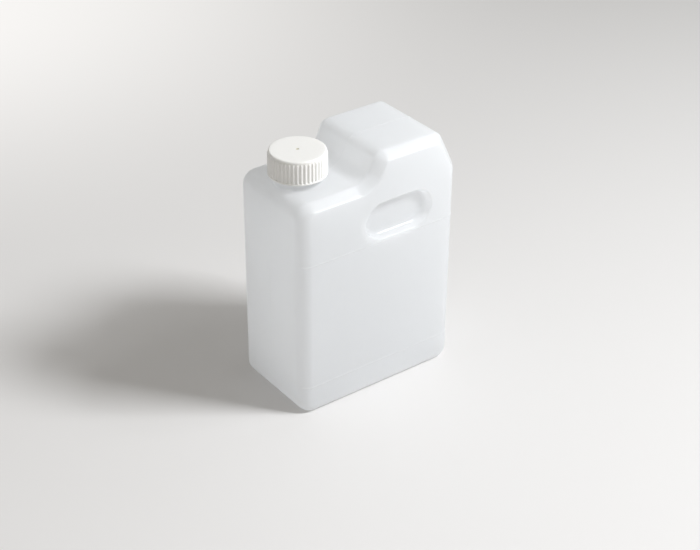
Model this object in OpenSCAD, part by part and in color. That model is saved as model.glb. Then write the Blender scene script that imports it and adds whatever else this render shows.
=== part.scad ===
// Stepped rectangular bottle, blow moulded in one piece, with a ribbed screw cap.
// Millimetres, +Z up. The origin is the middle of the standing plane.
// X runs from the neck end to the grip hump, and Y runs across the broad faces.

/* [Body] */
// Length over the two end walls
body_l = 146; // [138:1:156]
// Width over the two broad faces
body_w = 82.4; // [76:0.2:90]
// Height of the shoulder that carries the neck
shoulder_h = 182.6; // [177:0.2:188]
// Height of the grip hump's flat top
hump_h = 205.2; // [202:0.2:214]
// Thickness of the blown wall
wall = 1.2; // [1:0.1:1.8]
// Radius of the four upright edges
edge_r = 10; // [8:0.5:12]
// Radius of the long bottom edges
foot_r = 5.5; // [4:0.5:8]
// Radius of the bottom corners, seen from the broad side
foot_corner_r = 10.5; // [9.5:0.5:14]
// Radius between the neck's end wall and the shoulder
shoulder_r = 11.5; // [10.5:0.5:14]

/* [Slanted band along the top edges] */
// How far the band reaches in from the broad face
band_in = 8.2; // [6.5:0.1:9.5]
// How far the band drops from the flat top to the broad face
band_drop = 6.1; // [4.5:0.1:7.5]

/* [Step and hump] */
// Place along X where the step's wall meets the shoulder's level
step_x = -9.5; // [-12:0.5:-6]
// Slope of the step's wall, in degrees from level
step_angle = 67; // [60:1:72]
// Radius of the hollow at the foot of the step
step_foot_r = 15; // [12:0.5:17]
// Radius of the step's upper edge
step_top_r = 9; // [8:0.5:13]
// Length of the slope at the hump's far end
slope_l = 14.5; // [11:0.5:19]
// Height of that slope
slope_h = 29.6; // [25:0.2:34]
// Radius of the slope's two edges
slope_r = 10.5; // [9:0.5:13]

/* [Finger grips] */
// Length of each grip
grip_l = 63; // [54:1:66]
// Height of each grip
grip_h = 32.5; // [27:0.5:34]
// Depth of each grip
grip_depth = 7; // [5:0.5:9]
// How far the grip's wall slants in on its way down
grip_draft = 4; // [3:0.5:6]
// Distance from the bottle's middle to the grip's middle
grip_x = 17; // [13:0.5:20]
// Height of the grip's middle
grip_z = 150; // [149:0.5:154]

/* [Beads and foot] */
// Height of the upper bead
upper_bead_z = 132.6; // [124:0.2:133]
// Height of the lower bead
lower_bead_z = 24.2; // [19:0.2:30]
// Height of a bead's section
bead_h = 1.8; // [1.4:0.1:2.4]
// How far a bead stands out
bead_out = 0.5; // [0.3:0.1:0.8]
// Width of the ring that the bottle stands on
foot_ring = 10; // [8:0.5:14]
// Depth of the hollow inside that ring
foot_hollow = 2; // [1.5:0.1:3]
// Width of the weld line in the hollow
weld_w = 1.4; // [1:0.1:2]
// Height of the weld line
weld_h = 0.8; // [0.5:0.1:1.2]

/* [Neck] */
// Distance from the end wall to the neck's axis
neck_inset = 26.2; // [25:0.2:28]
// Radius over the neck's thread
thread_r = 19.25; // [18.5:0.05:20]
// Depth of the thread
thread_depth = 1.35; // [1:0.05:1.6]
// Thickness of the neck's wall
neck_wall = 2; // [1.6:0.1:2.6]
// Height of the plain collar at the neck's foot
collar_h = 4.2; // [3:0.2:5]
// How far that collar stands out past the neck's wall
collar_out = 0.5; // [0.3:0.1:1]
// Slant of the lip's outer edge
neck_edge_r = 0.6; // [0.3:0.1:0.8]

/* [Cap] */
// Height of the cap
cap_h = 19; // [17:0.2:21]
// Gap between the shoulder and the cap's rim
cap_gap = 5.8; // [5.2:0.2:8]
// Clearance between the thread and the cap's bore
cap_clear = 0.3; // [0.2:0.05:0.5]
// Thickness of the cap's side wall between ribs
cap_wall = 1.8; // [1.5:0.05:2.4]
// Thickness of the cap's top
cap_top_t = 1.6; // [1.2:0.1:2.2]
// Radius of the cap's upper edge
cap_edge_r = 1.5; // [1:0.1:1.6]
// Height of the smooth rim under the ribs
rim_h = 1.3; // [1:0.1:2]
// Number of ribs
rib_count = 46; // [36:1:54]
// Width of each rib
rib_w = 1.3; // [1:0.1:1.6]
// Depth of each rib
rib_out = 1; // [0.7:0.1:1.3]
// How far the rim stands out past the ribs
rim_out = 0.1; // [0.05:0.05:0.3]
// Distance from the ribs' upper ends to the cap's top
rib_top_gap = 2.2; // [1.8:0.1:3]
// Radius of the gate mark in the middle of the top
gate_r = 1.2; // [0.8:0.1:1.6]
// Depth of the gate mark
gate_depth = 0.4; // [0.2:0.1:0.6]

/* [Liner] */
// Thickness of the sealing liner
liner_t = 1.2; // [0.8:0.1:2]
// Clearance above and below the liner
liner_gap = 0.1; // [0.05:0.05:0.3]
// Clearance around the liner
liner_side = 0.4; // [0.3:0.1:0.6]

/* [Hidden] */
$fn = 96;
edge_steps = 6;
corner_steps = 6;
half_l = body_l / 2;
half_w = body_w / 2;
neck_x = neck_inset - half_l;
neck_r = thread_r - thread_depth;
neck_bore_r = neck_r - neck_wall;
collar_r = neck_r + collar_out;
cap_z = shoulder_h + cap_gap;
cap_top_z = cap_z + cap_h;
cap_roof_z = cap_top_z - cap_top_t;
liner_z = cap_roof_z - liner_gap - liner_t;
lip_z = liner_z - liner_gap;
cap_bore_r = thread_r + cap_clear;
cap_wall_r = cap_bore_r + cap_wall;
cap_r = cap_wall_r + rib_out;
liner_r = cap_bore_r - liner_side;
sunk = 0.4;
through = 2;
pilot_step = 1;
band_slant = sqrt(pow(band_in, 2) + pow(band_drop, 2));

function unit(v) = v / norm(v);

// The point where the line through p along u meets the line through q along v
function meet(p, u, q, v) = p + u * cross(q - p, v) / cross(u, v);

// Arc of radius r that rounds the corner at p, on the way from a to b
function rounded(a, p, b, r) =
    let (u = unit(a - p), v = unit(b - p))
    let (half = acos(u * v) / 2)
    let (c = p + unit(u + v) * r / sin(half), t = p + u * r / tan(half) - c)
    let (start = atan2(t.y, t.x), turn = (180 - 2 * half) * sign(cross(p - a, b - p)))
    [for (k = [0:corner_steps]) c + r * [cos(start + turn * k / corner_steps),
                                         sin(start + turn * k / corner_steps)]];

// Corners of the side view, as [x, z, radius]; a negative radius is a hollow corner
side_corners = [
    [-half_l, 0, foot_corner_r],
    [half_l, 0, foot_corner_r],
    [half_l, hump_h - slope_h, slope_r],
    [half_l - slope_l, hump_h, slope_r],
    [step_x + (hump_h - shoulder_h) / tan(step_angle), hump_h, step_top_r],
    [step_x, shoulder_h, -step_foot_r],
    [-half_l, shoulder_h, shoulder_r]];

// The side view with its foot, end walls and top edges each moved in by its own amount
function side_view(foot, ends, top) =
    let (n = len(side_corners), moves = [foot, ends, top, top, top, top, ends])
    let (p = [for (c = side_corners) [c.x, c.y]])
    let (u = [for (i = [0:n - 1]) unit(p[(i + 1) % n] - p[i])])
    let (q = [for (i = [0:n - 1]) p[i] + moves[i] * [-u[i].y, u[i].x]])
    let (m = [for (i = [0:n - 1]) meet(q[(i + n - 1) % n], u[(i + n - 1) % n], q[i], u[i])])
    [for (i = [0:n - 1])
        let (mean = (moves[i] + moves[(i + n - 1) % n]) / 2, r = side_corners[i][2])
        each rounded(m[(i + n - 1) % n], m[i], m[(i + 1) % n], abs(r - mean))];

// How far a round edge of radius r has moved in at depth d behind the broad face
function round_in(r, d) = d >= r ? 0 : r - sqrt(pow(r, 2) - pow(r - d, 2));

// How far the slanted band has dropped at depth d, for a skin lying t inside the outer one
function band_fall(t, d) =
    max(0, band_drop * (1 - (d + t) / band_in) + t * band_slant / band_in - t);

// Side views from one broad face to the other, for a skin lying t inside the outer one
function skin_rings(t) =
    let (r = edge_r - t, steps = [for (k = [0:edge_steps]) r * (1 - cos(90 * k / edge_steps))])
    let (half = [for (d = steps) [half_w - t - d, side_view(t + round_in(foot_r - t, d),
                                                        t + round_in(r, d), t + band_fall(t, d))]])
    [for (side = [-1, 1]) for (k = [0:edge_steps])
        let (h = half[side < 0 ? k : edge_steps - k])
        [for (p = h[1]) [p.x, side * h[0], p.y]]];

// Closed solid through rings that each have as many points
module skin(rings) {
    n = len(rings[0]);
    last = len(rings) - 1;
    points = [for (ring = rings) each ring];
    sides = [for (j = [0:last - 1]) for (i = [0:n - 1])
        let (a = j * n + i, b = j * n + (i + 1) % n)
        each [[a, b, b + n], [a, b + n, a + n]]];
    ends = [[for (i = [n - 1:-1:0]) i], [for (i = [0:n - 1]) last * n + i]];
    polyhedron(points = points, faces = concat(sides, ends));
}

// Rectangle with round corners in the XY plane, at height z, clockwise from above
function plan(l, w, r, z) =
    [for (q = [0:3]) for (k = [0:edge_steps])
        let (a = 90 * (q + k / edge_steps), sx = (q == 0 || q == 3) ? 1 : -1, sy = q < 2 ? -1 : 1)
        [sx * (l / 2 - r) + r * cos(a), sy * (w / 2 - r) - r * sin(a), z]];

// Round-ended slot in the XZ plane, grown by g, at depth y
function slot(g, y) =
    let (r = grip_h / 2 + g, run = (grip_l - grip_h) / 2)
    [for (side = [1, -1]) for (k = [0:2 * edge_steps])
        let (a = side * 90 - 180 * k / (2 * edge_steps))
        [grip_x + side * run + r * cos(a), y, grip_z + r * sin(a)]];

// Raised line around the body at height z
module bead(z) {
    skin([for (s = [[-1, -sunk], [-0.4, bead_out], [0.4, bead_out], [1, -sunk]])
        plan(body_l + 2 * s[1], body_w + 2 * s[1], edge_r + s[1], z + s[0] * bead_h / 2)]);
}

// The space of one finger grip, for a skin lying t inside the outer one
module grip(side, t) {
    floor_y = half_w - grip_depth - t;
    mouth_y = half_w - t;
    mirror([0, side < 0 ? 1 : 0, 0])
        skin([slot(t, mouth_y + through), slot(t, mouth_y - 1), slot(t - grip_draft / 3, floor_y + 2),
              slot(t - grip_draft, floor_y)]);
}

// The hollow under the foot, for a skin lying t inside the outer one
module foot_space(t) {
    skin([for (s = [[-through, 0], [0, 0], [foot_hollow, foot_hollow]])
        plan(body_l - 2 * (foot_ring + foot_r - t + s[1]), body_w - 2 * (foot_ring + foot_r - t + s[1]),
             edge_r, t + s[0])]);
}

// Inside of the blown wall, with the backs of the grips and of the foot's hollow
module cavity() {
    difference() {
        skin(skin_rings(wall));
        grip(1, wall);
        grip(-1, wall);
        foot_space(wall);
    }
}

// The blown body alone, with a pilot hole where the neck's bore will pass
module blown_body() {
    difference() {
        union() {
            skin(skin_rings(0));
            bead(upper_bead_z);
            bead(lower_bead_z);
        }
        grip(1, 0);
        grip(-1, 0);
        foot_space(0);
        cavity();
        translate([neck_x, 0, shoulder_h - edge_r])
            cylinder(h = edge_r + through, r = neck_bore_r - pilot_step);
    }
    translate([-half_l / 2, -weld_w / 2, foot_hollow - weld_h])
        cube([half_l, weld_w, weld_h + wall / 2]);
}

// Neck and collar as a tube of revolution, rooted in the shoulder's wall
module neck_tube() {
    e = neck_edge_r;
    root_z = shoulder_h - wall * 0.75;
    translate([neck_x, 0, 0])
        rotate_extrude()
            polygon([[neck_bore_r, root_z], [collar_r, root_z],
                     [collar_r, shoulder_h + collar_h - collar_out], [neck_r, shoulder_h + collar_h],
                     [neck_r, lip_z - e], [neck_r - e, lip_z], [neck_bore_r, lip_z]]);
}

module bottle() {
    color([0.89, 0.9, 0.91])
        difference() {
            union() {
                // The length over the beads stays as it is: resize only closes the body as one mesh
                resize([body_l + 2 * bead_out, 0, 0]) blown_body();
                neck_tube();
            }
            translate([neck_x, 0, shoulder_h - edge_r])
                cylinder(h = lip_z - shoulder_h + edge_r + through, r = neck_bore_r);
        }
}

// Outline of the ribbed band, with rib_count ribs
module ribbed_outline() {
    root_r = cap_wall_r - sunk;
    rib_half = asin(rib_w / 2 / cap_r);
    root_half = asin(rib_w * 0.7 / root_r);
    polygon([for (k = [0:rib_count - 1])
        let (a = 360 * k / rib_count)
        each [root_r * [cos(a - root_half), sin(a - root_half)],
              cap_r * [cos(a - rib_half), sin(a - rib_half)],
              cap_r * [cos(a + rib_half), sin(a + rib_half)],
              root_r * [cos(a + root_half), sin(a + root_half)]]]);
}

module cap() {
    e = cap_edge_r;
    rim_r = cap_r + rim_out;
    color([0.96, 0.96, 0.94])
        translate([neck_x, 0, 0])
            difference() {
                union() {
                    rotate_extrude()
                        polygon(concat([[0, cap_z], [rim_r, cap_z], [rim_r, cap_z + rim_h],
                                        [cap_wall_r, cap_z + rim_h]],
                                       [for (k = [0:corner_steps])
                                           let (a = 90 * k / corner_steps)
                                           [cap_wall_r - e + e * cos(a), cap_top_z - e + e * sin(a)]],
                                       [[0, cap_top_z]]));
                    translate([0, 0, cap_z + rim_h / 2])
                        linear_extrude(cap_h - rim_h / 2 - rib_top_gap) ribbed_outline();
                }
                translate([0, 0, cap_z - through])
                    cylinder(h = cap_roof_z - cap_z + through, r = cap_bore_r);
                translate([0, 0, cap_top_z - gate_depth])
                    cylinder(h = gate_depth + through, r = gate_r, $fn = 32);
            }
}

module cap_liner() {
    color([0.9, 0.91, 0.92])
        translate([neck_x, 0, liner_z])
            cylinder(h = liner_t, r = liner_r);
}

bottle();
cap();
cap_liner();
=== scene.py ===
# %% [markdown]
# # A square plastic bottle
# A two-litre bottle blown from milky polyethylene, with a finger grip pressed into each broad face, a
# raised hump beside the neck, and a ribbed screw cap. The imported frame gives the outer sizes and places,
# in metres. The shapes here are worked out in millimetres, because that is how a mould maker thinks of
# them, and they are turned into metres once, when a mesh is made.

import bpy
import numpy as np
from mathutils import Matrix, Vector


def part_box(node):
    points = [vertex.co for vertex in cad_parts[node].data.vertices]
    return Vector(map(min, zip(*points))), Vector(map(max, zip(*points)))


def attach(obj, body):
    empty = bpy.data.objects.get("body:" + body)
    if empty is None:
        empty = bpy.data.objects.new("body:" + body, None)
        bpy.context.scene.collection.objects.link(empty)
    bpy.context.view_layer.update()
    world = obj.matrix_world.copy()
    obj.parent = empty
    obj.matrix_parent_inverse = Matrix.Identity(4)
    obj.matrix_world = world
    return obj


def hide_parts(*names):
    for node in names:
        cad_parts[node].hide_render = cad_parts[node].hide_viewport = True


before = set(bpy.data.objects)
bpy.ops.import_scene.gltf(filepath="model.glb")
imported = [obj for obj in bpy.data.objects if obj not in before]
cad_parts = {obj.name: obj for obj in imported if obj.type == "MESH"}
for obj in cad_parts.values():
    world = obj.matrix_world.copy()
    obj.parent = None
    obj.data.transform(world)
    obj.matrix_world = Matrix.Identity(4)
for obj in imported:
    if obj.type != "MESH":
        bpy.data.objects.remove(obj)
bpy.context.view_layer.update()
MM = 0.001

# %% [markdown]
# ## Sizes
# The outer sizes come from the boxes of the frame's nodes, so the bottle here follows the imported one.
# The radii and the steps of the shape are the mould's own values. The parting line stands a quarter of a
# millimetre proud of the hump, so the hump itself is made that much lower and nothing leaves the frame's
# box.

# %% Outer sizes from the frame
bottle_low, bottle_high = (np.array(v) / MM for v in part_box("bottle"))
cap_low, cap_high = (np.array(v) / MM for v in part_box("cap"))
liner_low, liner_high = (np.array(v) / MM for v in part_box("cap_liner"))
bead_out = 0.5
parting_h, parting_half = 0.25, 0.55
half_l = bottle_high[0] - bead_out
half_w = bottle_high[1] - bead_out
hump_h = bottle_high[2] - parting_h
cap_z, cap_top_z = cap_low[2], cap_high[2]
neck_x = (cap_low[0] + cap_high[0]) / 2
cap_gap = 5.8
shoulder_h = cap_z - cap_gap
print("bottle box:", bottle_low.round(2), bottle_high.round(2), "shoulder:", shoulder_h, "neck at:", neck_x)

# %% Sizes of the mould
wall = 1.2
edge_r, foot_r, foot_corner_r, shoulder_r = 10.0, 5.5, 10.5, 11.5
band_in, band_drop, band_low_r, band_high_r = 8.2, 6.1, 1.5, 2.5
step_x, step_slope, step_foot_r, step_top_r = -9.5, np.radians(67), 15.0, 9.0
slope_l, slope_h, slope_r = 14.5, 29.6, 10.5
grip_x, grip_z, grip_r, grip_run, grip_depth = 17.0, 150.0, 16.25, 15.25, 7.0
grip_lip, grip_draft, grip_mouth_r, grip_floor_r = 0.6, 2.0, 1.15, 4.2
bead_heights, bead_half, bead_rise = (24.2, 132.6), 0.62, 0.3
hollow_h, hollow_rim, hollow_ramp, hollow_x, hollow_y = 2.0, 10.0, 2.4, 47.5, 15.7
weld_h, weld_half, weld_end = 0.8, 0.9, 37.0
hole_x, hole_y = -24.4, 23.3
arc_steps = 8
print("wall", wall, "mm; grip", 2 * (grip_run + grip_r), "by", 2 * grip_r, "mm, depth", grip_depth, "mm")

# %% [markdown]
# ## Small helpers
# Most of the shape is made of a few ideas: a soft step, a rounded edge, and a grid of points turned into
# four-sided faces. Each helper works on whole arrays at once.

# %% Curves
def ease(low, high, v):
    """S-curve from 0 at low to 1 at high: s s (3 - 2 s), with s the share of the way."""
    s = np.clip((v - low) / (high - low), 0, 1)
    return s * s * (3 - 2 * s)


def crest(v, half):
    """A rounded line: the square of a cosine, 1 in the middle and 0 at half either side."""
    return np.cos(np.clip(v / half, -1, 1) * np.pi / 2) ** 2


def round_in(r, d):
    """How far a round edge of radius r has moved in at depth d behind the face:
    r - sqrt(r^2 - (r - d)^2)."""
    return r - np.sqrt(r**2 - np.maximum(r - d, 0) ** 2)

# %% Vectors and grids
def unit(v):
    """v divided by its length."""
    return v / np.linalg.norm(v, axis=-1, keepdims=True)


def cross(a, b):
    """Signed area between two plane vectors."""
    return a[..., 0] * b[..., 1] - a[..., 1] * b[..., 0]


def lattice_faces(index, flip=False):
    """Four-sided faces over a two-dimensional array of point numbers."""
    a, b, c, d = index[:-1, :-1], index[1:, :-1], index[1:, 1:], index[:-1, 1:]
    quads = np.stack([a, b, c, d], -1).reshape(-1, 4)
    return quads[:, ::-1] if flip else quads


def grid_normals(p):
    """Unit normals of a grid whose rows are closed rings, from the differences along its two directions."""
    along = np.roll(p, -1, 1) - np.roll(p, 1, 1)
    normals = unit(np.cross(np.gradient(p, axis=0), along))
    outward = ((p - p.reshape(-1, 3).mean(0)) * normals).sum()
    return normals if outward > 0 else -normals


print("half way up the S-curve:", ease(0, 1, np.array(0.5)))

# %% [markdown]
# ## The bottle's side view
# Seen from its broad side, the bottle is a seven-cornered outline: foot, end, slope, hump, step,
# shoulder and end. A blow-moulded body can be thought of as that outline drawn at every depth from the
# front face to the back one, moved in a little near the faces where the edges are round. Making it as
# such rings, in one array, gives smooth edges everywhere and needs no modifier.

# %% The slanted band along the top edge
def band_fall(t, d):
    """Drop of the slanted band at depth d, for a skin t inside the outer face.
    The band is the line band_drop d + band_in f = c, with an arc at each end that is tangent to it and to the
    broad face or the flat top: f = f0 - sqrt(r^2 - (r - d)^2) below, and r - sqrt(r^2 - (d - d0)^2) above."""
    slant = np.hypot(band_in, band_drop)
    c = band_in * band_drop + t * (slant - band_in - band_drop)
    low_r, high_r = max(band_low_r - t, 0.3), max(band_high_r - t, 0.3)
    low_f = (c + low_r * (slant - band_drop)) / band_in
    high_d = (c + high_r * (slant - band_in)) / band_drop
    line = (c - band_drop * d) / band_in
    low = low_f - np.sqrt(np.maximum(low_r**2 - (low_r - d) ** 2, 0))
    high = high_r - np.sqrt(np.maximum(high_r**2 - (d - high_d) ** 2, 0))
    fall = np.where(d < low_r * (1 - band_drop / slant), low, line)
    fall = np.where(d > high_d - high_r * band_drop / slant, high, fall)
    return np.where(d > high_d, 0, fall)


print("band drop at depths 0, 4 and 10:", np.round(band_fall(0, np.array([0.0, 4, 10])), 2))

# %% The outline's corners: x, z and radius, where a minus sign is an inner corner
side_corners = np.array([
    [-half_l, 0, foot_corner_r],
    [half_l, 0, foot_corner_r],
    [half_l, hump_h - slope_h, slope_r],
    [half_l - slope_l, hump_h, slope_r],
    [step_x + (hump_h - shoulder_h) / np.tan(step_slope), hump_h, step_top_r],
    [step_x, shoulder_h, -step_foot_r],
    [-half_l, shoulder_h, shoulder_r]])
print(side_corners.round(2))

# %% All the side views at once
def side_views(foot, ends, top, lines):
    """The side view of each ring, as an array of rings x points x 2.
    Every edge of the outline is moved in by its own amount and met with its neighbour. Each corner becomes an
    arc whose radius is the corner's own less the mean of the two moves. Between two arcs, an edge has the
    points that lines names, by their x or z, or as shares of its length."""
    moves = np.stack([foot, ends, top, top, top, top, ends], axis=-1)
    p = side_corners[:, :2]
    u = unit(np.roll(p, -1, 0) - p)
    q = p + moves[..., None] * np.stack([-u[:, 1], u[:, 0]], axis=-1)
    before, u_before = np.roll(q, 1, 1), np.roll(u, 1, 0)
    m = before + u_before * (cross(q - before, u) / cross(u_before, u))[..., None]
    a, b = unit(np.roll(m, 1, 1) - m), unit(np.roll(m, -1, 1) - m)
    r = np.abs(side_corners[:, 2] - (moves + np.roll(moves, 1, 1)) / 2)
    half = np.arccos((a * b).sum(-1)) / 2
    centre = m + unit(a + b) * (r / np.sin(half))[..., None]
    start = m + a * (r / np.tan(half))[..., None] - centre
    turn = (np.pi - 2 * half) * np.sign(cross(-a, b))
    share = np.linspace(0, 1, arc_steps + 1)
    angle = np.arctan2(start[..., 1], start[..., 0])[..., None] + turn[..., None] * share
    arcs = centre[:, :, None] + r[..., None, None] * np.stack([np.cos(angle), np.sin(angle)], -1)
    edges = [(0, lines["foot_x"]), (1, lines["wall_z"]), (None, slope_shares), (None, hump_shares),
             (None, step_shares), (0, shoulder_x[::-1]), (1, lines["wall_z"][::-1])]
    parts = []
    for i, (axis, at) in enumerate(edges):
        e, s = arcs[:, i, -1], arcs[:, (i + 1) % 7, 0]
        part = at[None] if axis is None else (at - e[:, axis, None]) / (s - e)[:, axis, None]
        parts += [arcs[:, i], e[:, None] + part[..., None] * (s - e)[:, None]]
    return np.concatenate(parts, axis=1)

# %% [markdown]
# ## Where the rings, rows and columns go
# A grid shades well when its lines follow the shape's own features. Rings crowd towards each broad face,
# where the edge turns fastest. Rows crowd at the two raised lines and at the grip's wall, and columns at
# the neck's hole and at the foot's hollow. The inner skin is only seen through the wall, so it has fewer
# rows.

# %% The grip's wall, as distance and depth
def grip_profile(t):
    """Points (distance from the grip's middle line, depth) down its rounded wall, t inside the outer face.
    Each of the two corners is an arc of its own radius, swept from one tangent point to the other."""
    reach = grip_r + t - grip_lip
    corners = np.array([[reach + 2, 0], [reach, 0], [reach - grip_draft, grip_depth], [0, grip_depth]])
    points = []
    for i, r in ((1, grip_mouth_r), (2, grip_floor_r)):
        a, b = unit(corners[i - 1] - corners[i]), unit(corners[i + 1] - corners[i])
        half = np.arccos(a @ b) / 2
        centre = corners[i] + unit(a + b) * r / np.sin(half)
        s, e = corners[i] + a * r / np.tan(half) - centre, corners[i] + b * r / np.tan(half) - centre
        k, w = np.linspace(0, 1, 6)[:, None], np.pi - 2 * half
        points.append(centre + (np.sin((1 - k) * w) * s + np.sin(k * w) * e) / np.sin(w))
    return np.concatenate(points + [corners[3:]])


print("grip wall points:", grip_profile(0).round(2).tolist())

# %% Columns that both skins share
slope_shares = np.array([.04, .35, .65, .96])
hump_shares = np.array([.02, .2, .4, .6, .8, .98])
step_shares = np.array([.06, .5, .94])
shoulder_x = np.array([-59.5, -57, -54, -50.4, -46.8, -43.2, -39.6, -36.2, -33.2, -30.4, -27.4, hole_x,
                       -22, -20])
middle_y = np.array([28.5, 25.7, 25.1, 24.5, 23.9, hole_y, 21.4, 19.5, hollow_y, 13.2, 10.8, 8.2, 5.6, 3, 1.4,
                     0.95, 0.6, 0.25, 0])
foot_count = 3 * arc_steps + 3 + sum(len(v) for v in (slope_shares, hump_shares, step_shares, shoulder_x))
foot_rim_step = 0.6
foot_side = np.concatenate([hollow_x + hollow_rim - np.arange(5) * foot_rim_step,
                            [hollow_x, 43.8, 40.2, 36.5, 35.5, 59.8]])
foot_fill = np.linspace(-33.5, 33.5, foot_count - 2 * len(foot_side))
foot_x = np.sort(np.concatenate([foot_side, -foot_side, foot_fill]))
cols = arc_steps + foot_count + 1
print("columns from end to end:", cols)

# %% Rings and rows of one skin
def skin_lines(t, fine):
    """The places of rings, rows and columns on a skin that lies t inside the outer face."""
    wall_points = grip_profile(t)
    marks = wall_points[:-1, 0]
    edge = marks[0] + 0.3
    grip_lines = np.concatenate([[edge], marks, marks[-1] * np.array([0.66, 0.33])])
    if fine:
        near = np.array([0, .04, .15, .4, .8, 1.3, 2, 3, 4.2, 5.5, 6.6, 7.4, 8, 8.6, 9.2, 10, 11])
        bead_rows = np.array([-.85, -.55, -.38, -.2, 0, .2, .38, .6])
        rows = [[11.2, 14, 18, 22], bead_heights[0] + bead_rows,
                [26.5, 31, 38, 48, 60, 72, 84, 96, 106, 114, 121, 126.5, 130],
                bead_heights[1] + bead_rows[:-1]]
    else:
        near = np.array([0, .06, .3, 1, 2.2, 4, 5.6, 7, 8.2, 9.6])
        rows = [[11.6, 14, 18, 22, 30, 45, 65, 85, 105, 120, 128]]
    rows += [grip_z - grip_lines, [grip_z], (grip_z + grip_lines)[::-1], [169.2, 170.4]]
    across = np.concatenate([grip_x - grip_run - grip_lines, grip_x + np.linspace(-1, 1, 9) * grip_run,
                             (grip_x + grip_run + grip_lines)[::-1]])
    left, end = 12, half_l - edge_r
    right = cols + 1 - len(across) - left
    face_x = np.concatenate([np.linspace(-end, across[0], left + 1)[:-1], across,
                             np.linspace(across[-1], end, right + 1)[1:]])
    return dict(depth=np.concatenate([near, half_w - t - middle_y]), wall_z=np.concatenate(rows),
                foot_x=foot_x, face_x=face_x, grip=wall_points, edge=edge)


print("rows up the outer skin:", len(skin_lines(0, True)["wall_z"]))

# %% [markdown]
# ## The broad faces
# Each broad face is a lattice laid inside the outermost ring. A Coons patch fills a lattice from its
# four borders, which suits the curved lower and upper parts, and straight rows fill the middle. The grip
# is then pressed in: lines at one distance from its middle line are bent round its ends, and get that
# distance's depth. This keeps every line along the grip's own wall, which a boolean cut would not.

# %% Patches
def coons(low, high, left, right):
    """Lattice through four border curves: the sum of the two straight blends, less the blend of the
    corners."""
    u = np.linspace(0, 1, len(low))[:, None, None]
    v = np.linspace(0, 1, len(left))[None, :, None]
    low, high, left, right = low[:, None], high[:, None], left[None], right[None]
    both = (1 - u) * ((1 - v) * low[:1] + v * high[:1]) + u * ((1 - v) * low[-1:] + v * high[-1:])
    return (1 - v) * low + v * high + (1 - u) * left + u * right - both


def relaxed(patch, passes=6):
    """The patch after each inner point has gone to the mean of its four neighbours, time after time."""
    for _ in range(passes):
        patch[1:-1, 1:-1] = (patch[2:, 1:-1] + patch[:-2, 1:-1] + patch[1:-1, 2:] + patch[1:-1, :-2]) / 4
    return patch


def towards_square(dx, dy, share):
    """Factor that bends square lines of distance into round ones: max(dx, dy) / hypot(dx, dy), by share."""
    far = np.hypot(dx, dy)
    return 1 + (np.maximum(dx, dy) / np.where(far > 0, far, 1) - 1) * share * (far > 0)

# %% The face's lattice
def face_lattice(ring, lines):
    """The broad face inside the outermost ring, as columns x rows of (x, z), and the depth at each point."""
    rows = arc_steps + len(lines["wall_z"]) + 1
    low, right = ring[:cols + 1], ring[cols:cols + rows + 1]
    high = ring[cols + rows:2 * cols + rows + 1][::-1]
    left = np.concatenate([ring[2 * cols + rows:], ring[:1]])[::-1]
    first, last = arc_steps // 2 + 3, rows - arc_steps // 2 - 1
    x = lines["face_x"].copy()
    x[0], x[-1] = left[first, 0], right[first, 0]
    straight = {k: np.stack([x, np.full_like(x, left[k, 1])], -1) for k in (first, last)}
    grid = np.zeros((cols + 1, rows + 1, 2))
    middle = slice(first, last + 1)
    grid[:, middle] = np.stack(np.broadcast_arrays(x[:, None], left[None, middle, 1]), -1)
    grid[:, :first + 1] = relaxed(coons(low, straight[first], left[:first + 1], right[:first + 1]))
    grid[:, last:] = relaxed(coons(straight[last], high, left[last:], right[last:]))
    return press_grip(grid, lines)

# %% The grip, pressed in
def press_grip(grid, lines):
    """The lattice with its lines bent round the grip's ends, and the depth at each point."""
    dx = np.maximum(np.abs(grid[..., 0] - grip_x) - grip_run, 0)
    dz = np.abs(grid[..., 1] - grip_z)
    distance = np.maximum(dx, dz)
    edge = lines["edge"] + 1e-6
    deep = np.interp(distance, lines["grip"][::-1, 0], lines["grip"][::-1, 1])
    share = np.where(distance <= edge, 1, np.clip((edge + 3 - dx) / 3, 0, 1) * (dz <= edge))
    scale = towards_square(dx, dz, share)
    sx, sz = np.sign(grid[..., 0] - grip_x), np.sign(grid[..., 1] - grip_z)
    grid[..., 0] = np.where(dx > 0, grip_x + sx * (grip_run + dx * scale), grid[..., 0])
    grid[..., 1] = grip_z + sz * dz * scale
    return grid, deep

# %% [markdown]
# ## The fine lines of the mould
# Two raised lines run across each broad face and die out round the edges. The parting line is where the
# two halves of the mould met: a small ridge over the hump and down both ends. The foot is pressed up
# into a shallow hollow, so that the bottle stands on a rim, and the pinched weld crosses that hollow.

# %% Raised lines and the parting line
def bead(z):
    """How far the two raised lines stand out at height z."""
    return sum(bead_rise * crest(z - h, bead_half) for h in bead_heights)


def raise_lines(rings):
    """The rings with the raised lines and the parting line pushed out along the surface's normals."""
    normals = grid_normals(rings)
    fade = np.clip((rings[..., 2] - 16) / 30, 0, 1)
    ridge = parting_h * crest(rings[..., 1], parting_half) * fade
    line = bead(rings[..., 2]) * ease(0.35, 0.9, np.abs(normals[..., 1]))
    return rings + normals * np.maximum(line, ridge)[..., None]

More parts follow.
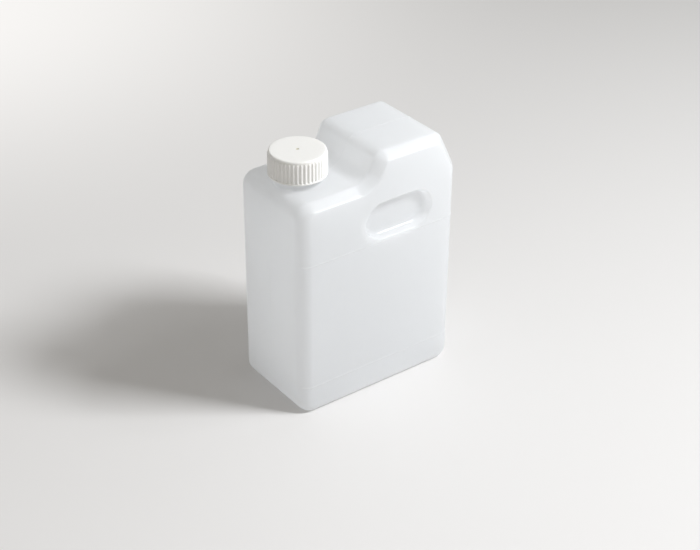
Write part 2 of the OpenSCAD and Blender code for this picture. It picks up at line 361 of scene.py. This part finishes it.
# %% The foot's hollow and weld
def press_foot(rings, t, fine):
    """The rings with their flat underside bent into a rounded hollow, and the weld's line across it."""
    flat = (np.arange(rings.shape[1]) <= cols)[None] & (rings[..., 2] < t + 0.02)
    x, y = rings[..., 0].copy(), rings[..., 1].copy()
    dx, dy = np.maximum(np.abs(x) - hollow_x, 0), np.maximum(np.abs(y) - hollow_y, 0)
    distance = np.maximum(dx, dy)
    scale = towards_square(dx, dy, np.clip((hollow_rim + 4 - distance) / 4, 0, 1))
    rings[..., 0] = np.where(flat & (dx > 0), np.sign(x) * (hollow_x + dx * scale), x)
    rings[..., 1] = np.where(flat & (dy > 0), np.sign(y) * (hollow_y + dy * scale), y)
    lift = hollow_h * ease(0, hollow_ramp, hollow_rim - distance)
    if fine:
        along = np.clip(weld_end - np.abs(rings[..., 0]), 0, 1)
        lift = lift - weld_h * crest(rings[..., 1], weld_half) * along
    rings[..., 2] = np.where(flat, t + lift, rings[..., 2])
    return rings

# %% [markdown]
# ## One skin
# A skin is the rings, one face lattice at each end of them, and a rectangular hole on the shoulder, from
# which the neck will rise. The bottle needs two skins, the outer one and one a wall's thickness inside
# it, because light has to enter and leave the plastic for it to look milky.

# %% The broad faces, joined to the rings
def close_faces(rings, index, lines, t, fine):
    """Points and faces of both broad faces. Their border points are the outermost rings' own."""
    rows = arc_steps + len(lines["wall_z"]) + 1
    grid, deep = face_lattice(rings[0][:, [0, 2]], lines)
    level = bead(grid[..., 1]) * (deep < 1e-6) if fine else 0
    start, points, faces = index.size, [], []
    inside = np.arange((cols - 1) * (rows - 1)).reshape(cols - 1, rows - 1)
    for sign, ring in ((-1, index[0]), (1, index[-1])):
        surface = np.stack([grid[..., 0], sign * (half_w - t - deep + level), grid[..., 1]], -1)
        points.append(surface[1:-1, 1:-1].reshape(-1, 3))
        number = np.empty((cols + 1, rows + 1), int)
        number[1:-1, 1:-1] = start + inside
        start += inside.size
        number[:, 0] = ring[:cols + 1]
        number[-1, :] = ring[cols:cols + rows + 1]
        number[:, -1] = ring[cols + rows:2 * cols + rows + 1][::-1]
        number[0, :] = np.append(ring[2 * cols + rows:], ring[0])[::-1]
        faces.append(lattice_faces(number, flip=sign > 0))
    return points, faces

# %% The neck's hole
def cut_hole(faces, index, depth, lines, t):
    """The faces without those where the neck stands, and the loop of point numbers round that hole."""
    corner = 2 * cols + arc_steps + len(lines["wall_z"]) + 1
    last = arc_steps // 2 + 1 + int(np.argmin(np.abs(shoulder_x - hole_x)))
    across = np.flatnonzero(np.abs(depth - half_w + t) < hole_y + 0.01)
    block = index[across[0]:across[-1] + 1][:, corner - last:corner + 1][:, ::-1]
    drop = set(map(tuple, np.sort(lattice_faces(block), 1).tolist()))
    keep = [tuple(f) not in drop for f in np.sort(faces, 1).tolist()]
    loop = np.concatenate([block[0, :-1], block[:-1, -1], block[-1, :0:-1], block[:0:-1, 0]])
    return faces[np.array(keep)], loop

# %% The whole skin
def body_skin(t, fine):
    """One skin of the body, t inside the outer face: its points, its faces and the loop round its hole."""
    lines = skin_lines(t, fine)
    near = lines["depth"]
    depth = np.concatenate([near, (2 * (half_w - t) - near[:-1])[::-1]])
    shallow = np.minimum(depth, 2 * (half_w - t) - depth)
    xz = side_views(t + round_in(foot_r - t, shallow), t + round_in(edge_r - t, shallow),
                    t + band_fall(t, shallow), lines)
    y = np.broadcast_to((depth - half_w + t)[:, None], xz.shape[:2])
    rings = np.roll(np.stack([xz[..., 0], y, xz[..., 1]], -1), -(arc_steps // 2), 1)
    rings = press_foot(raise_lines(rings) if fine else rings, t, fine)
    index = np.arange(rings[..., 0].size).reshape(rings.shape[:2])
    points, faces = close_faces(rings, index, lines, t, fine)
    points = np.concatenate([rings.reshape(-1, 3)] + points)
    faces = np.concatenate([lattice_faces(np.concatenate([index, index[:, :1]], 1))] + faces)
    faces, loop = cut_hole(faces, index, depth, lines, t)
    return points, faces, loop


outer, outer_faces, outer_loop = body_skin(0, True)
inner, inner_faces, inner_loop = body_skin(wall, False)
print("outer skin points:", len(outer), "inner:", len(inner), "round the hole:", len(outer_loop))

# %% [markdown]
# ## The neck
# The neck is a tube that joins the two skins: up the outside over a small fillet, a collar and the
# thread, over the lip, and down the bore. Spokes from the hole's edge run straight to the tube's foot,
# so the same columns go all the way round and the whole bottle stays one closed surface. The thread is a
# rounded ridge that climbs one pitch in each turn, the usual way to model a right-hand screw.

# %% Neck sizes
thread_pitch, thread_h, thread_half, thread_turns, thread_fade = 4.2, 1.35, 1.15, 2.6, 0.5
thread_flat = 1.6
neck_r, neck_bore_r, lip_r, bore_foot_r = 17.9, 15.9, 0.6, 0.8
collar_r, collar_h, collar_foot_r = 18.4, 4.2, 1.5
lip_under_top, thread_above_collar, thread_row = 3.0, 2.0, 0.34
bore_rows = np.array([200.0, 195, 190, 185])
collar_z = shoulder_h + collar_h
lip_z = cap_top_z - lip_under_top
thread_z = collar_z + thread_above_collar
print("thread over", round(2 * (neck_r + thread_h), 1), "mm, from", thread_z, "to", lip_z)

# %% Thread
def thread_height(angle, z, start_z, height):
    """Height of a right-hand thread: a flat-topped crest whose middle is at start_z + pitch x turns, and
    which fades in and out over thread_fade radians."""
    total = np.zeros(np.broadcast(angle, z).shape)
    for turn in range(int(np.ceil(thread_turns))):
        travelled = angle % (2 * np.pi) + 2 * np.pi * turn
        middle = start_z + thread_pitch * travelled / (2 * np.pi)
        left = thread_turns * 2 * np.pi - travelled
        ends = np.clip(travelled / thread_fade, 0, 1) * np.clip(left / thread_fade, 0, 1)
        total = np.maximum(total, height * ends * np.minimum(crest(z - middle, thread_half) * thread_flat, 1))
    return total

# %% Shoulder round the neck
def shoulder_top(x, t):
    """Height of the shoulder along x, with the arc over its end wall, for a skin t inside the outer face."""
    r, start = shoulder_r - t, -half_l + shoulder_r
    return shoulder_h - shoulder_r + np.sqrt(np.maximum(r**2 - np.minimum(x - start, 0) ** 2, 0))


def fan(border, c, s, r, t, steps=6):
    """Rings from the edge of the hole in a skin to a circle of radius r, laid on the shoulder."""
    goal = np.stack([neck_x + r * c, r * s], -1)
    share = (np.arange(1, steps + 1) / steps)[:, None, None]
    flat = border[None, :, :2] + share * (goal - border[:, :2])[None]
    return np.concatenate([flat, shoulder_top(flat[..., 0], t)[..., None]], -1)

# %% Tube
def neck_tube(angle, outer_foot, inner_foot):
    """Rows (radius, height) from the collar's foot, over the lip and down the bore, as points."""
    quarter = np.linspace(0, np.pi / 2, 6)[:, None]
    foot_r_rows = collar_r + collar_foot_r * (1 - np.sin(quarter[1:]))
    foot_z_rows = outer_foot + collar_foot_r * (1 - np.cos(quarter[1:]))
    z = np.concatenate([collar_z - np.array([2.2, 0.9, 0.5, 0.35, 0.15, 0]),
                        np.arange(collar_z + 0.3, lip_z - 0.9, thread_row)])
    r = np.concatenate([[collar_r] * 3, [collar_r - 0.07, collar_r - 0.25], [neck_r] * (len(z) - 5)])[:, None]
    z = z[:, None]
    r = r + (z > collar_z) * thread_height(angle[None], z, thread_z, thread_h)
    over_r = np.concatenate([neck_r - lip_r + lip_r * np.cos(quarter),
                             neck_bore_r + lip_r * (1 - np.sin(quarter))])
    over_z = lip_z - lip_r + lip_r * np.concatenate([np.sin(quarter), np.cos(quarter)])
    bore_z = bore_rows[:, None]
    end = np.linspace(0, np.pi / 2, 4)[:-1, None]
    end_r = neck_bore_r + bore_foot_r * (1 - np.cos(end))
    end_z = inner_foot + bore_foot_r * (1 - np.sin(end))
    flat = np.zeros_like(angle)[None]
    radius = np.concatenate([v + flat for v in (foot_r_rows, r, over_r, neck_bore_r + 0 * bore_z, end_r)])
    height = np.concatenate([v + flat for v in (foot_z_rows, z, over_z, bore_z, end_z)])
    return np.stack([neck_x + radius * np.cos(angle), radius * np.sin(angle), height], -1)

# %% The whole bottle
def bottle_mesh():
    """Both skins, joined by the neck, as points and faces."""
    angle = np.arctan2(outer[outer_loop, 1], outer[outer_loop, 0] - neck_x)
    c, s = np.cos(angle), np.sin(angle)
    up = fan(outer[outer_loop], c, s, collar_r + collar_foot_r, 0)
    down = fan(inner[inner_loop], c, s, neck_bore_r + bore_foot_r, wall)[::-1]
    rows = np.concatenate([up, neck_tube(angle, up[-1][None, :, 2], down[0][None, :, 2]), down])
    number = len(outer) + len(inner) + np.arange(rows[..., 0].size).reshape(rows.shape[:2])
    number = np.concatenate([outer_loop[None], number, (inner_loop + len(outer))[None]])
    tube_faces = lattice_faces(np.concatenate([number, number[:, :1]], 1), flip=True)
    points = np.concatenate([outer, inner, rows.reshape(-1, 3)])
    return points, np.concatenate([outer_faces, (inner_faces + len(outer))[:, ::-1], tube_faces])

# %% From points to an object
def make_piece(name, points, quads, triangles=()):
    """A smooth-shaded object at the origin, from points in millimetres."""
    mesh = bpy.data.meshes.new(name)
    mesh.from_pydata(points * MM, [], np.asarray(quads).tolist() + np.asarray(triangles, int).tolist())
    mesh.polygons.foreach_set("use_smooth", np.ones(len(mesh.polygons), bool))
    mesh.update()
    piece = bpy.data.objects.new(name, mesh)
    bpy.context.scene.collection.objects.link(piece)
    print(name, "faces", len(mesh.polygons), "size in mm", np.ptp(points, axis=0).round(2))
    return piece


bottle_piece = make_piece("bottle_shell", *bottle_mesh())

# %% [markdown]
# ## The cap and its liner
# The ribbed cap is moulded, so it is nearly a turned shape: rows of radius and height carried round an
# upright axis. The flutes between its ribs are cut by a distance. Across a flute the distance to its
# middle line is measured, and below its lower end the distance to that end's centre, which gives the
# round ends by itself. The inside carries the neck's thread half a pitch higher, so the two threads pass
# between each other. The liner is a thin disc of foamed sheet that lies under the cap's top.

# %% Cap sizes
rib_count, rib_samples, rib_w, rib_h = 46, 12, 1.3, 0.65
cap_bore_r, cap_edge_r, rim_h, rim_out = 19.55, 1.5, 1.3, 0.1
cap_thread_h, cap_roof, cap_thread_row = 1.15, 1.6, 0.4
rib_soft_in, rib_soft_out, crown_foot, crown_top, rim_soft = 0.32, 0.3, 3.3, 1.9, 0.5
gate_r, gate_depth, liner_soft, liner_cols = 1.2, 0.4, 0.25, 96
rim_r = (cap_high[0] - cap_low[0]) / 2
cap_wall_r = rim_r - rim_out - rib_h
cap_roof_z = cap_top_z - cap_roof
print("cap", round(2 * rim_r, 2), "mm over the rim,", round(cap_top_z - cap_z, 2), "mm high,",
      rib_count, "ribs")

# %% Turned shapes
def turned(radius, height, centre_x):
    """A closed surface round an upright axis: rows of (radius, height) over evenly spaced angles, with a
    single point at each end. Rows run up the outside and down the inside, so the faces point outwards."""
    rows, count = radius.shape
    angle = np.arange(count) * 2 * np.pi / count
    body = np.stack([centre_x + radius * np.cos(angle), radius * np.sin(angle), height + 0 * radius], -1)
    poles = np.array([[centre_x, 0, height[0].mean()], [centre_x, 0, height[-1].mean()]])
    number = np.arange(rows * count).reshape(rows, count)
    number = np.concatenate([number, number[:, :1]], 1)
    first = np.stack([number[0, :-1], number[0, 1:], np.full(count, rows * count)], -1)
    last = np.stack([number[-1, 1:], number[-1, :-1], np.full(count, rows * count + 1)], -1)
    points = np.concatenate([body.reshape(-1, 3), poles])
    return points, lattice_faces(number, flip=True), np.concatenate([first, last])[:, ::-1]

# %% The cap's ribbed side
def cap_side(angle):
    """Rows of radius and height up the ribbed side: wall + rib x S-curve(distance to the flute's middle)."""
    pitch = 2 * np.pi * (cap_wall_r + rib_h) / rib_count
    flute_half = (pitch - rib_w) / 2
    across = np.abs((angle * rib_count / (2 * np.pi)) % 1 - 0.5) * pitch
    z = np.concatenate([[0.3, 0.6, 0.85], np.arange(1.0, 2.9, 0.16), [3.6, 6, 9, 12, 14, 15],
                        np.arange(15.4, 17.3, 0.16), [17.45]])[:, None] + cap_z
    below = np.maximum(cap_z + rim_h + flute_half - z, 0)
    stand = ease(flute_half - rib_soft_in, flute_half + rib_soft_out, np.hypot(across, below))
    crown = 1 - ease(cap_top_z - crown_foot, cap_top_z - crown_top, z)
    rim = rim_out * (1 - ease(cap_z + rim_h - rim_soft, cap_z + rim_h, z))
    return cap_wall_r + rib_h * stand * crown + rim, z

# %% The whole cap
def cap_mesh():
    """From the roof inside, down the threaded bore, round the mouth, up the ribs and over the top."""
    angle = (np.arange(rib_count * rib_samples) * 2 * np.pi / (rib_count * rib_samples))[None]
    side_r, side_z = cap_side(angle)
    edge = np.linspace(0, np.pi / 2, 9)[:, None]
    top_r = cap_wall_r - cap_edge_r + cap_edge_r * np.cos(edge)
    top_z = cap_top_z - cap_edge_r + cap_edge_r * np.sin(edge)
    disc_r = np.array([17, 12, 7, 3, 1.9, 1.55, 1.35, 1.2, 1.1, 1.0, 0.85, 0.6, 0.3])[:, None]
    disc_z = cap_top_z - gate_depth * (1 - ease(gate_r - 0.25, gate_r + 0.15, disc_r))
    mouth_r = np.array([cap_bore_r + 0.35, rim_r - 0.3, rim_r - 0.09, rim_r])[:, None]
    mouth_z = cap_z + np.array([0, 0, 0.08, 0.28])[:, None]
    roof_r = np.array([0.5, 6, 12, 18.6, 19.2, 19.45])[:, None]
    roof_z = cap_roof_z - np.array([0, 0, 0, 0, 0.1, 0.35])[:, None]
    bore_z = np.arange(cap_roof_z - 1, cap_z + 0.5, -cap_thread_row)[:, None]
    bore_r = cap_bore_r - thread_height(angle, bore_z, thread_z + thread_pitch / 2, cap_thread_h)
    end_r, end_z = cap_bore_r + np.array([[0.0], [0.08]]), cap_z + np.array([[0.35], [0.12]])
    radius = np.concatenate([v + 0 * angle for v in (roof_r, bore_r, end_r, mouth_r, side_r, top_r, disc_r)])
    height = np.concatenate([roof_z, bore_z, end_z, mouth_z, side_z, top_z, disc_z])
    return turned(radius, height, neck_x)


cap_piece = make_piece("ribbed_cap", *cap_mesh())

# %% The liner
def liner_mesh():
    """A foam disc whose upper and lower edges are quarter circles of radius liner_soft."""
    r, low, high, soft = (liner_high[0] - liner_low[0]) / 2, liner_low[2], liner_high[2], liner_soft
    a = np.linspace(0, np.pi / 2, 5)[:, None]
    radius = np.concatenate([[[0.5], [8]], r - soft + soft * np.sin(a), r - soft + soft * np.cos(a),
                             [[8], [0.5]]])
    height = np.concatenate([[[low], [low]], low + soft - soft * np.cos(a), high - soft + soft * np.sin(a),
                             [[high], [high]]])
    return turned(radius + np.zeros((1, liner_cols)), height, (liner_low[0] + liner_high[0]) / 2)


liner_piece = make_piece("cap_seal", *liner_mesh())

# %% [markdown]
# ## Materials
# Milky polyethylene is neither clear nor opaque: light goes in, is scattered, and comes out of the far
# side as a soft glow. A translucent shader mixed with a satin surface does that in a thin wall, and the
# glow then depends on the real wall and the air inside. A slow bump stands for the unevenness of a blown
# wall. The cap is thicker and more opaque, so it gets subsurface light instead, and a browner spot where
# the plastic entered its mould.

# %% Shader helpers
def new_material(name):
    """A material with its nodes, links and main shader."""
    material = bpy.data.materials.new(name)
    material.use_nodes = True
    tree = material.node_tree
    return material, tree.nodes, tree.links, tree.nodes["Principled BSDF"]


def set_inputs(shader, **values):
    """Constants put on the shader's own sockets. A name's _ stands for a space."""
    for name, value in values.items():
        shader.inputs[name.replace("_", " ")].default_value = value

# %% Fine unevenness
def noise_bump(nodes, links, layers):
    """Bumps one after another, each given as (noise scale per metre, height in metres). The last one's
    normal comes back, with the node that gives the Object coordinates."""
    place = nodes.new("ShaderNodeTexCoord")
    normal = None
    for scale, height in layers:
        noise = nodes.new("ShaderNodeTexNoise")
        set_inputs(noise, Scale=scale, Detail=2)
        links.new(place.outputs["Object"], noise.inputs["Vector"])
        bump = nodes.new("ShaderNodeBump")
        bump.inputs["Distance"].default_value = height
        links.new(noise.outputs["Fac"], bump.inputs["Height"])
        if normal:
            links.new(normal, bump.inputs["Normal"])
        normal = bump.outputs["Normal"]
    return normal, place

# %% Milky polyethylene
milky, nodes, links, shader = new_material("milky_polyethylene")
normal, place = noise_bump(nodes, links, [(25, 0.0012), (700, 0.00004)])
set_inputs(shader, Base_Color=(0.955, 0.975, 1.0, 1), Roughness=0.2, IOR=1.5, Coat_Weight=0.4,
           Coat_Roughness=0.12)
see_through = nodes.new("ShaderNodeBsdfTranslucent")
see_through.inputs["Color"].default_value = (0.992, 0.9925, 0.992, 1)
blend = nodes.new("ShaderNodeMixShader")
blend.inputs["Fac"].default_value = 0.74
links.new(normal, shader.inputs["Normal"])
links.new(normal, see_through.inputs["Normal"])
links.new(shader.outputs["BSDF"], blend.inputs[1])
links.new(see_through.outputs["BSDF"], blend.inputs[2])
links.new(blend.outputs["Shader"], nodes["Material Output"].inputs["Surface"])
print(milky.name, "share that shines through:", round(blend.inputs["Fac"].default_value, 2))

# %% Cap polypropylene, with the tinted gate mark
cap_white, nodes, links, shader = new_material("cap_polypropylene")
normal, place = noise_bump(nodes, links, [(900, 0.00003)])
offset = nodes.new("ShaderNodeMapping")
set_inputs(offset, Location=(-neck_x * MM, 0, 0), Scale=(1, 1, 0))
links.new(place.outputs["Object"], offset.inputs["Vector"])
reach = nodes.new("ShaderNodeVectorMath")
reach.operation = "LENGTH"
links.new(offset.outputs["Vector"], reach.inputs[0])
mark = nodes.new("ShaderNodeMapRange")
set_inputs(mark, From_Min=gate_r * MM * 1.25, From_Max=gate_r * MM * 0.85)
links.new(reach.outputs["Value"], mark.inputs["Value"])
tint = nodes.new("ShaderNodeMix")
tint.data_type = "RGBA"
tint.inputs["A"].default_value = (0.89, 0.88, 0.855, 1)
tint.inputs["B"].default_value = (0.56, 0.53, 0.41, 1)
links.new(mark.outputs["Result"], tint.inputs["Factor"])
links.new(tint.outputs["Result"], shader.inputs["Base Color"])
set_inputs(shader, Roughness=0.38, Subsurface_Weight=1.0, Subsurface_Radius=(1.0, 1.0, 1.0),
           Subsurface_Scale=0.0012)
links.new(normal, shader.inputs["Normal"])
print(cap_white.name, "gate mark", 2 * gate_r, "mm across")

# %% Foamed sheet
foam, nodes, links, shader = new_material("foamed_sheet")
normal, place = noise_bump(nodes, links, [(1500, 0.0001)])
set_inputs(shader, Base_Color=(0.82, 0.83, 0.84, 1), Roughness=0.8)
links.new(normal, shader.inputs["Normal"])

# %% Hand each piece its material, its body and the node it stands for
dressing = ((bottle_piece, milky, "bottle", "bottle", "milky_plastic"),
            (cap_piece, cap_white, "cap", "cap", "white_cap_plastic"),
            (liner_piece, foam, "liner", "cap_liner", "liner_foam"))
for piece, material, body, node, slot in dressing:
    piece.data.materials.append(material)
    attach(piece, body)
    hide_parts(node)
    print(piece.name, "rides on", body, "for", node, "in slot", slot)

# %% [markdown]
# ## Floor
# The bottle stands on a large, pale sheet of paper. The sheet gets a little darker towards +X, which
# stands for light that falls off across a real floor.

# %% Pale floor
floor_half, paper_near, paper_far = 6.0, -0.3, 0.85
square = np.array([[-1, -1, 0], [1, -1, 0], [1, 1, 0], [-1, 1, 0]]) * floor_half
floor_mesh = bpy.data.meshes.new("floor")
floor_mesh.from_pydata(square.tolist(), [], [(0, 1, 2, 3)])
floor = bpy.data.objects.new("floor", floor_mesh)
bpy.context.scene.collection.objects.link(floor)
paper, nodes, links, shader = new_material("floor_paper")
shader.inputs["Roughness"].default_value = 0.6
place, parted = nodes.new("ShaderNodeTexCoord"), nodes.new("ShaderNodeSeparateXYZ")
tone, shade = nodes.new("ShaderNodeMapRange"), nodes.new("ShaderNodeMix")
set_inputs(tone, From_Min=paper_near, From_Max=paper_far)
shade.data_type = "RGBA"
shade.inputs["A"].default_value = (0.825, 0.81, 0.80, 1)
shade.inputs["B"].default_value = (0.625, 0.615, 0.605, 1)
links.new(place.outputs["Object"], parted.inputs["Vector"])
links.new(parted.outputs["X"], tone.inputs["Value"])
links.new(tone.outputs["Result"], shade.inputs["Factor"])
links.new(shade.outputs["Result"], shader.inputs["Base Color"])
floor_mesh.materials.append(paper)
print("floor:", 2 * floor_half, "m square")

# %% [markdown]
# ## Light
# One soft lamp from the front right gives the long highlights on the slanted bands. A weaker one above
# it fills the top, a wide spot lights the floor behind, and an even, slightly warm sky lifts the
# shadows. From the camera's side a few highlights still burn out to plain white, most of them on the
# hump's slanted band. From behind, much of the floor does.

# %% A soft lamp
def softbox(name, direction, distance, side, power, color, target=(0, 0, 0.1)):
    """A square lamp that looks at target from distance metres along direction."""
    along = Vector(direction).normalized()
    lamp = bpy.data.lights.new(name, "AREA")
    lamp.shape, lamp.size, lamp.size_y = "RECTANGLE", side, side
    lamp.energy, lamp.color = power, color
    lamp_object = bpy.data.objects.new(name, lamp)
    bpy.context.scene.collection.objects.link(lamp_object)
    lamp_object.location = Vector(target) + along * distance
    lamp_object.rotation_mode = "QUATERNION"
    lamp_object.rotation_quaternion = along.to_track_quat("Z", "Y")
    print(name, power, "W at", [round(v, 2) for v in lamp_object.location])

# %% Three lamps and an even sky
daylight = (0.955, 0.975, 1.0)
softbox("key_softbox", (0.50, -0.52, 0.69), 1.9, 0.48, 33.5, daylight)
softbox("top_softbox", (0.50, -0.31, 0.81), 1.6, 0.30, 2.5, daylight)
far_pool = bpy.data.lights.new("far_pool", "SPOT")
far_pool.energy, far_pool.spot_size, far_pool.spot_blend = 58, np.radians(65), 1
far_pool.shadow_soft_size = 0.1
far_pool_object = bpy.data.objects.new("far_pool", far_pool)
far_pool_object.location = (0.05, 1.15, 1.5)
bpy.context.scene.collection.objects.link(far_pool_object)
world = bpy.data.worlds.new("studio")
world.use_nodes = True
set_inputs(world.node_tree.nodes["Background"], Color=(1.0, 0.98, 0.935, 1), Strength=0.375)
bpy.context.scene.world = world

# %% [markdown]
# ## Camera
# The camera stands in front of the neck end, at about 32 degrees above the table, and looks along an
# azimuth of 36 degrees. A small shift of the lens sets where the bottle sits in the picture, without
# turning it.

# %% Camera
camera_azimuth, camera_elevation, camera_roll = np.radians([-36.211, 31.999, 0.181])
camera_place = np.array([-616.1, -826.6, 723.2]) * MM
photo_width, shift_right, shift_up = 700, 13.14, 3.34
flat_part = np.cos(camera_elevation)
back = np.array([np.sin(camera_azimuth) * flat_part, -np.cos(camera_azimuth) * flat_part,
                 np.sin(camera_elevation)])
right = np.array([np.cos(camera_azimuth), np.sin(camera_azimuth), 0])
up = np.cross(back, right)
right, up = (right * np.cos(camera_roll) + up * np.sin(camera_roll),
             up * np.cos(camera_roll) - right * np.sin(camera_roll))
lens = bpy.data.cameras.new("camera")
lens.sensor_width, lens.lens, lens.clip_end = 36, 79.43, 20
lens.shift_x, lens.shift_y = shift_right / photo_width, shift_up / photo_width
camera = bpy.data.objects.new("camera", lens)
bpy.context.scene.collection.objects.link(camera)
pose = np.eye(4)
pose[:3] = np.stack([right, up, back, camera_place], axis=1)
camera.matrix_world = Matrix(pose.tolist())
bpy.context.scene.camera = camera
print("camera at", camera_place.round(3), "lens", lens.lens, "mm")

# %% Colour and light paths: a milky wall needs many bounces
bpy.context.scene.view_settings.view_transform = "Standard"
cycles = bpy.context.scene.cycles
cycles.max_bounces, cycles.diffuse_bounces, cycles.transmission_bounces = 24, 20, 20
print("bounces:", cycles.max_bounces)
